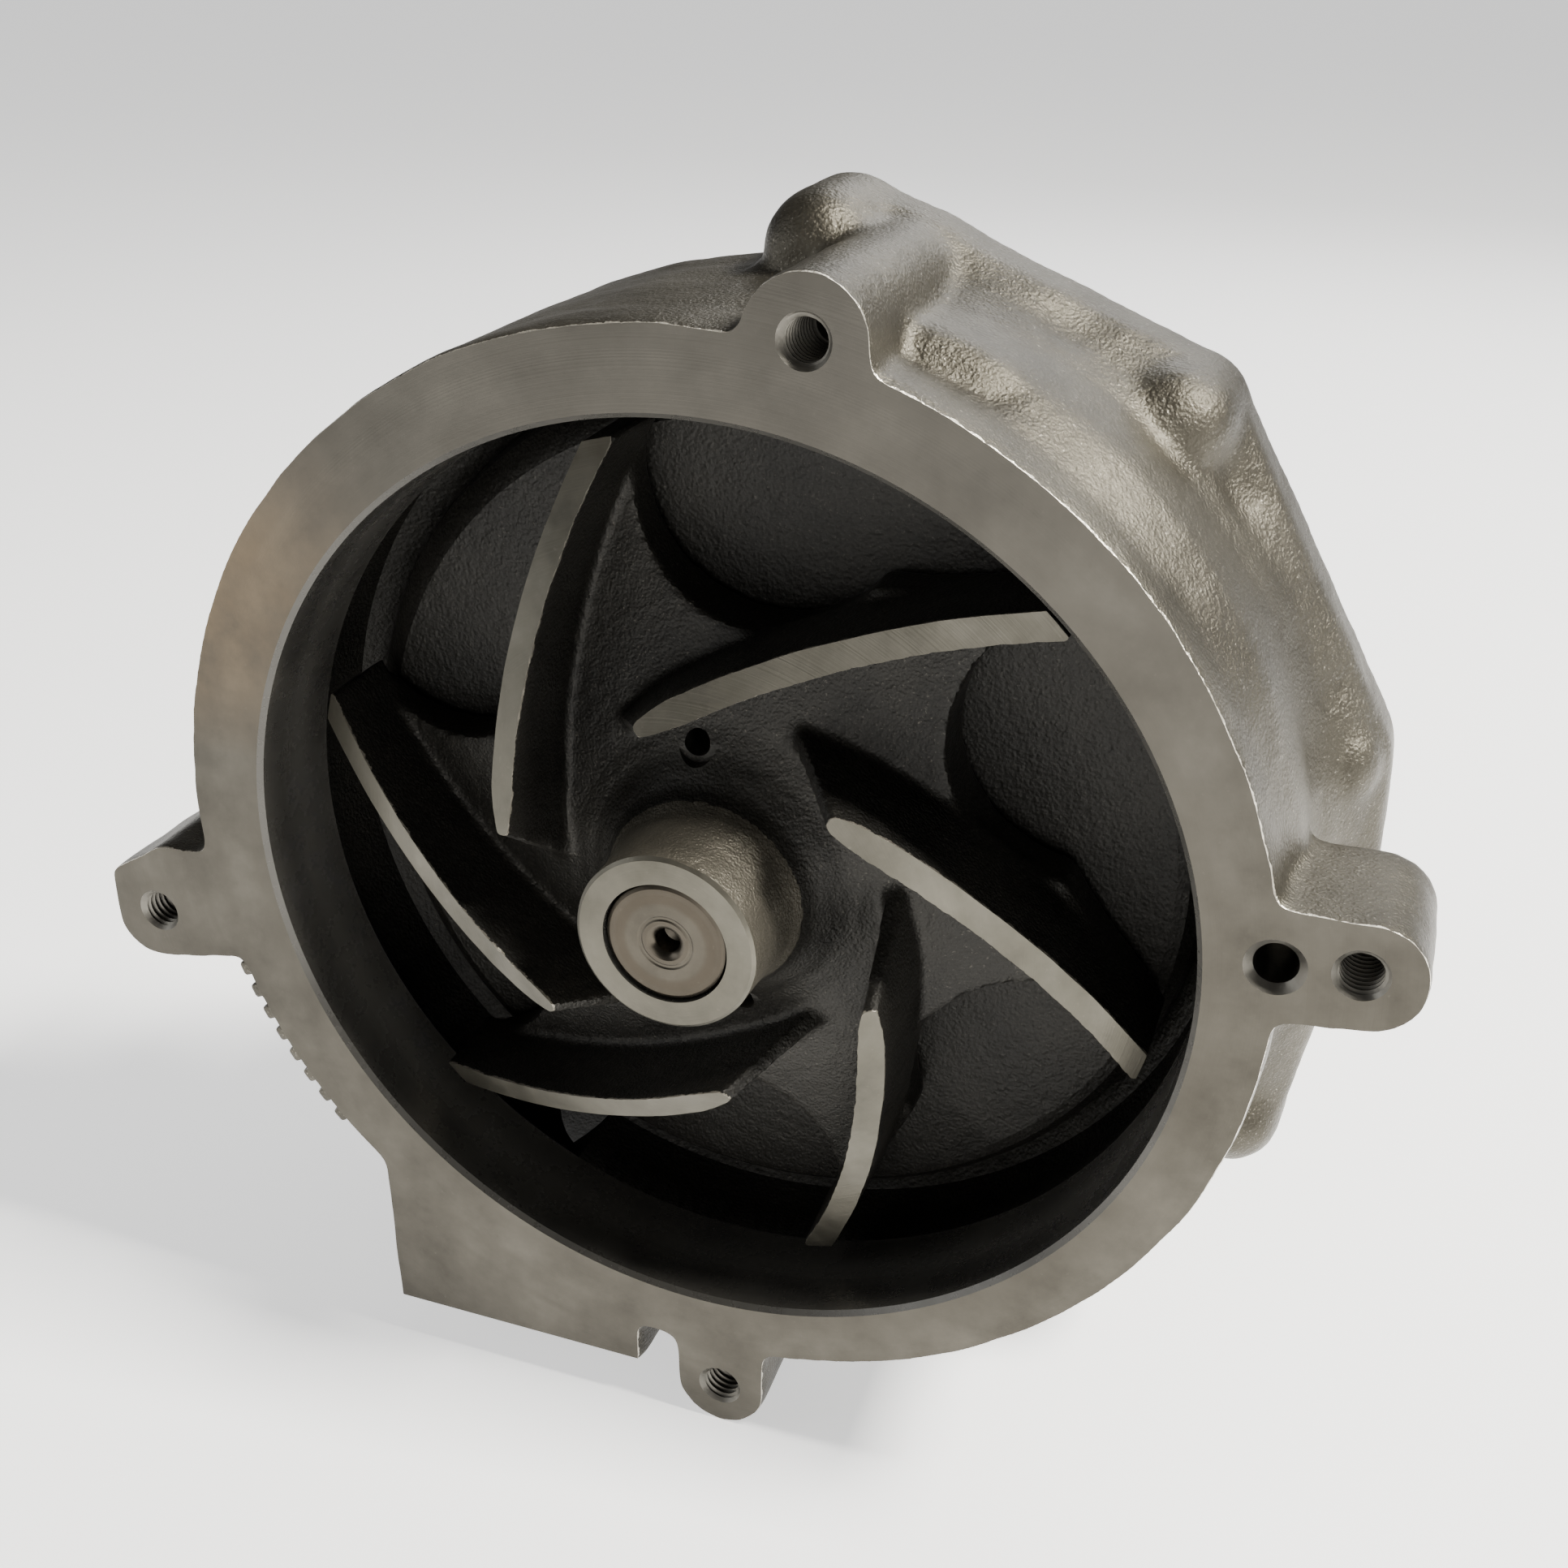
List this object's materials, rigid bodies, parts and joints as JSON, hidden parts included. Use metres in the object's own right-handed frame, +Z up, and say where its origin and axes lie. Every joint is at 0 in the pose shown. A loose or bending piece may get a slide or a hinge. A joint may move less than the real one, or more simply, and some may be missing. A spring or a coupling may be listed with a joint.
{
  "type": "engine coolant pump",
  "caption": "Cast-iron engine coolant pump with an open-vaned impeller in a volute casing, a ball-bearing shaft, a face seal and a ribbed belt pulley.",
  "frame": {"origin": "centre of the machined bore in the plane of the front mounting face", "axes": "-Y out of the front face towards the engine, +Y along the shaft to the pulley, +Z up through the top ear, +X to the right seen from the front"},
  "size_m": [0.2404, 0.1668, 0.2282],
  "materials": {
    "cast_iron": "rough sand-cast with machined faces",
    "impeller_iron": "dark cast with machined vane edges",
    "shaft_steel": "turned",
    "bearing_steel": "ground",
    "cage_steel": "pressed",
    "zinc_plated": "zinc plated",
    "pulley_black": "satin",
    "black_rubber": "matte",
    "gasket_fibre": "compressed fibre",
    "seal_ceramic": "lapped ceramic",
    "seal_carbon": "lapped carbon"
  },
  "bodies": {
    "pump_body": {"pump_housing": "cast_iron", "bearing_housing": "cast_iron", "housing_gasket": "gasket_fibre", "housing_bolt_1": "zinc_plated", "housing_bolt_2": "zinc_plated", "housing_bolt_3": "zinc_plated", "housing_bolt_4": "zinc_plated", "housing_bolt_5": "zinc_plated", "housing_bolt_6": "zinc_plated", "front_bearing_outer_ring": "bearing_steel", "rear_bearing_outer_ring": "bearing_steel", "bearing_circlip": "bearing_steel", "seal_cup": "bearing_steel", "rear_dust_seal": "black_rubber", "outlet_seal_ring": "black_rubber"},
    "rotor": {"impeller": "impeller_iron", "pump_shaft": "shaft_steel", "seal_mating_ring": "seal_ceramic", "water_flinger": "black_rubber", "front_bearing_inner_ring": "bearing_steel", "rear_bearing_inner_ring": "bearing_steel", "bearing_spacer": "shaft_steel", "pulley_hub": "shaft_steel", "drive_pulley": "pulley_black", "pulley_bolt_1": "zinc_plated", "pulley_bolt_2": "zinc_plated", "pulley_bolt_3": "zinc_plated", "pulley_bolt_4": "zinc_plated"},
    "front_ball_set": {"front_bearing_cage": "cage_steel", "front_bearing_ball_1": "bearing_steel", "front_bearing_ball_2": "bearing_steel", "front_bearing_ball_3": "bearing_steel", "front_bearing_ball_4": "bearing_steel", "front_bearing_ball_5": "bearing_steel", "front_bearing_ball_6": "bearing_steel", "front_bearing_ball_7": "bearing_steel"},
    "rear_ball_set": {"rear_bearing_cage": "cage_steel", "rear_bearing_ball_1": "bearing_steel", "rear_bearing_ball_2": "bearing_steel", "rear_bearing_ball_3": "bearing_steel", "rear_bearing_ball_4": "bearing_steel", "rear_bearing_ball_5": "bearing_steel", "rear_bearing_ball_6": "bearing_steel", "rear_bearing_ball_7": "bearing_steel"},
    "seal_head": {"seal_carbon_ring": "seal_carbon", "seal_spring": "bearing_steel", "seal_bellows": "black_rubber"}
  },
  "joints": [
    {"name": "shaft_spin", "type": "hinge", "parent": "pump_body", "child": "rotor", "pos_m": [0, 0.09, 0], "axis": [0, 1, 0], "continuous": true},
    {"name": "front_cage_spin", "type": "hinge", "parent": "pump_body", "child": "front_ball_set", "pos_m": [0, 0.0848, 0], "axis": [0, 1, 0], "continuous": true},
    {"name": "rear_cage_spin", "type": "hinge", "parent": "pump_body", "child": "rear_ball_set", "pos_m": [0, 0.1132, 0], "axis": [0, 1, 0], "continuous": true},
    {"name": "seal_face_float", "type": "slide", "parent": "pump_body", "child": "seal_head", "axis": [0, 1, 0], "range_m": [0, 0.001], "stiffness_N_per_m": 2000, "springref_m": -0.003, "deforming": ["seal_spring", "seal_bellows"]}
  ],
  "couplings": [
    {"joint": "front_cage_spin", "follows": "shaft_spin", "ratio": 0.38},
    {"joint": "rear_cage_spin", "follows": "shaft_spin", "ratio": 0.38}
  ]
}
